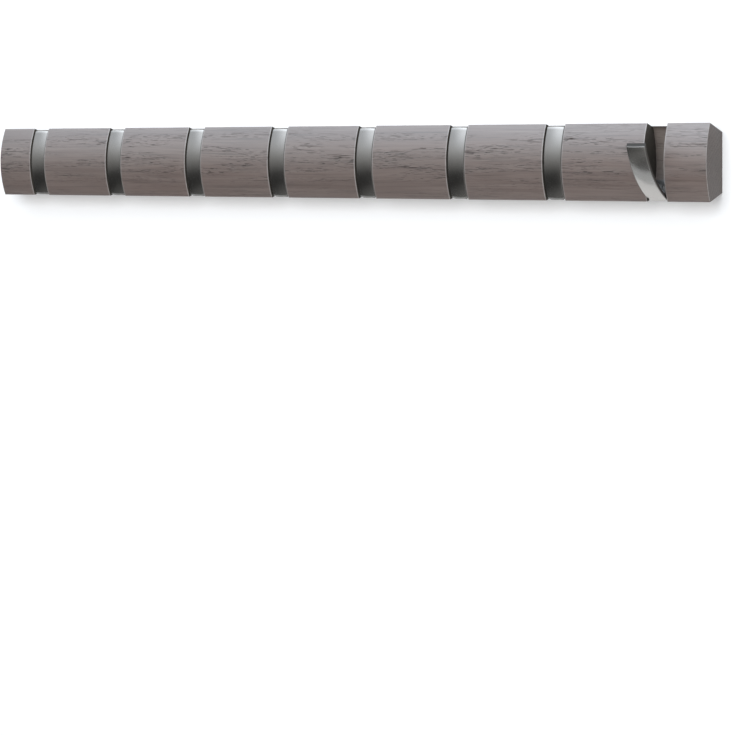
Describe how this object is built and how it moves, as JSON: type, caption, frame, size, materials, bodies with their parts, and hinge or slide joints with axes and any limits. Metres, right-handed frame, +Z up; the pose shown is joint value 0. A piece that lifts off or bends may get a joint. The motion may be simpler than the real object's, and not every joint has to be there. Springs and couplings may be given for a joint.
{
  "type": "folding hook rack",
  "caption": "Wall-mounted wooden rail with a curved front and slots that hold flush metal hooks, each swinging out on a pin.",
  "frame": {"origin": "centre of the rail's flat back face, which lies on the wall", "axes": "+X along the rail to the right as seen from the front, +Y into the wall, +Z up"},
  "size_m": [0.8128, 0.0666, 0.069],
  "materials": {
    "stained_wood": "grey-brown stain under a satin lacquer",
    "satin_nickel": "satin nickel plate on cast zinc",
    "cast_zinc": "tumbled zinc casting",
    "zinc_plate": "zinc-plated pressed steel",
    "spring_steel": "oiled spring steel",
    "bright_steel": "bright zinc-plated steel"
  },
  "bodies": {
    "root": {"rail": "stained_wood", "hinge_bracket_1": "cast_zinc", "hinge_bracket_2": "cast_zinc", "hinge_bracket_3": "cast_zinc", "hinge_bracket_4": "cast_zinc", "hinge_bracket_5": "cast_zinc", "hinge_bracket_6": "cast_zinc", "hinge_bracket_7": "cast_zinc", "hinge_bracket_8": "cast_zinc", "hinge_pin_1": "bright_steel", "hinge_pin_2": "bright_steel", "hinge_pin_3": "bright_steel", "hinge_pin_4": "bright_steel", "hinge_pin_5": "bright_steel", "hinge_pin_6": "bright_steel", "hinge_pin_7": "bright_steel", "hinge_pin_8": "bright_steel", "friction_washers": "spring_steel", "bracket_screws": "bright_steel", "keyhole_plate_left": "zinc_plate", "keyhole_plate_right": "zinc_plate", "plate_screws": "bright_steel"},
    "hook_1": {"hook_1": "satin_nickel"},
    "hook_2": {"hook_2": "satin_nickel"},
    "hook_3": {"hook_3": "satin_nickel"},
    "hook_4": {"hook_4": "satin_nickel"},
    "hook_5": {"hook_5": "satin_nickel"},
    "hook_6": {"hook_6": "satin_nickel"},
    "hook_7": {"hook_7": "satin_nickel"},
    "hook_8": {"hook_8": "satin_nickel"}
  },
  "joints": [
    {"name": "hook_1_swing", "type": "hinge", "parent": "root", "child": "hook_1", "pos_m": [-0.3556, -0.0219, -0.0299], "axis": [1, 0, 0], "range_deg": [0, 43]},
    {"name": "hook_2_swing", "type": "hinge", "parent": "root", "child": "hook_2", "pos_m": [-0.254, -0.0219, -0.0299], "axis": [1, 0, 0], "range_deg": [0, 43]},
    {"name": "hook_3_swing", "type": "hinge", "parent": "root", "child": "hook_3", "pos_m": [-0.1524, -0.0219, -0.0299], "axis": [1, 0, 0], "range_deg": [0, 43]},
    {"name": "hook_4_swing", "type": "hinge", "parent": "root", "child": "hook_4", "pos_m": [-0.0508, -0.0219, -0.0299], "axis": [1, 0, 0], "range_deg": [0, 43]},
    {"name": "hook_5_swing", "type": "hinge", "parent": "root", "child": "hook_5", "pos_m": [0.0508, -0.0219, -0.0299], "axis": [1, 0, 0], "range_deg": [0, 43]},
    {"name": "hook_6_swing", "type": "hinge", "parent": "root", "child": "hook_6", "pos_m": [0.1524, -0.0219, -0.0299], "axis": [1, 0, 0], "range_deg": [0, 43]},
    {"name": "hook_7_swing", "type": "hinge", "parent": "root", "child": "hook_7", "pos_m": [0.254, -0.0219, -0.0299], "axis": [1, 0, 0], "range_deg": [0, 43]},
    {"name": "hook_8_swing", "type": "hinge", "parent": "root", "child": "hook_8", "pos_m": [0.3556, -0.0219, -0.0299], "axis": [1, 0, 0], "range_deg": [-43, 0]}
  ]
}
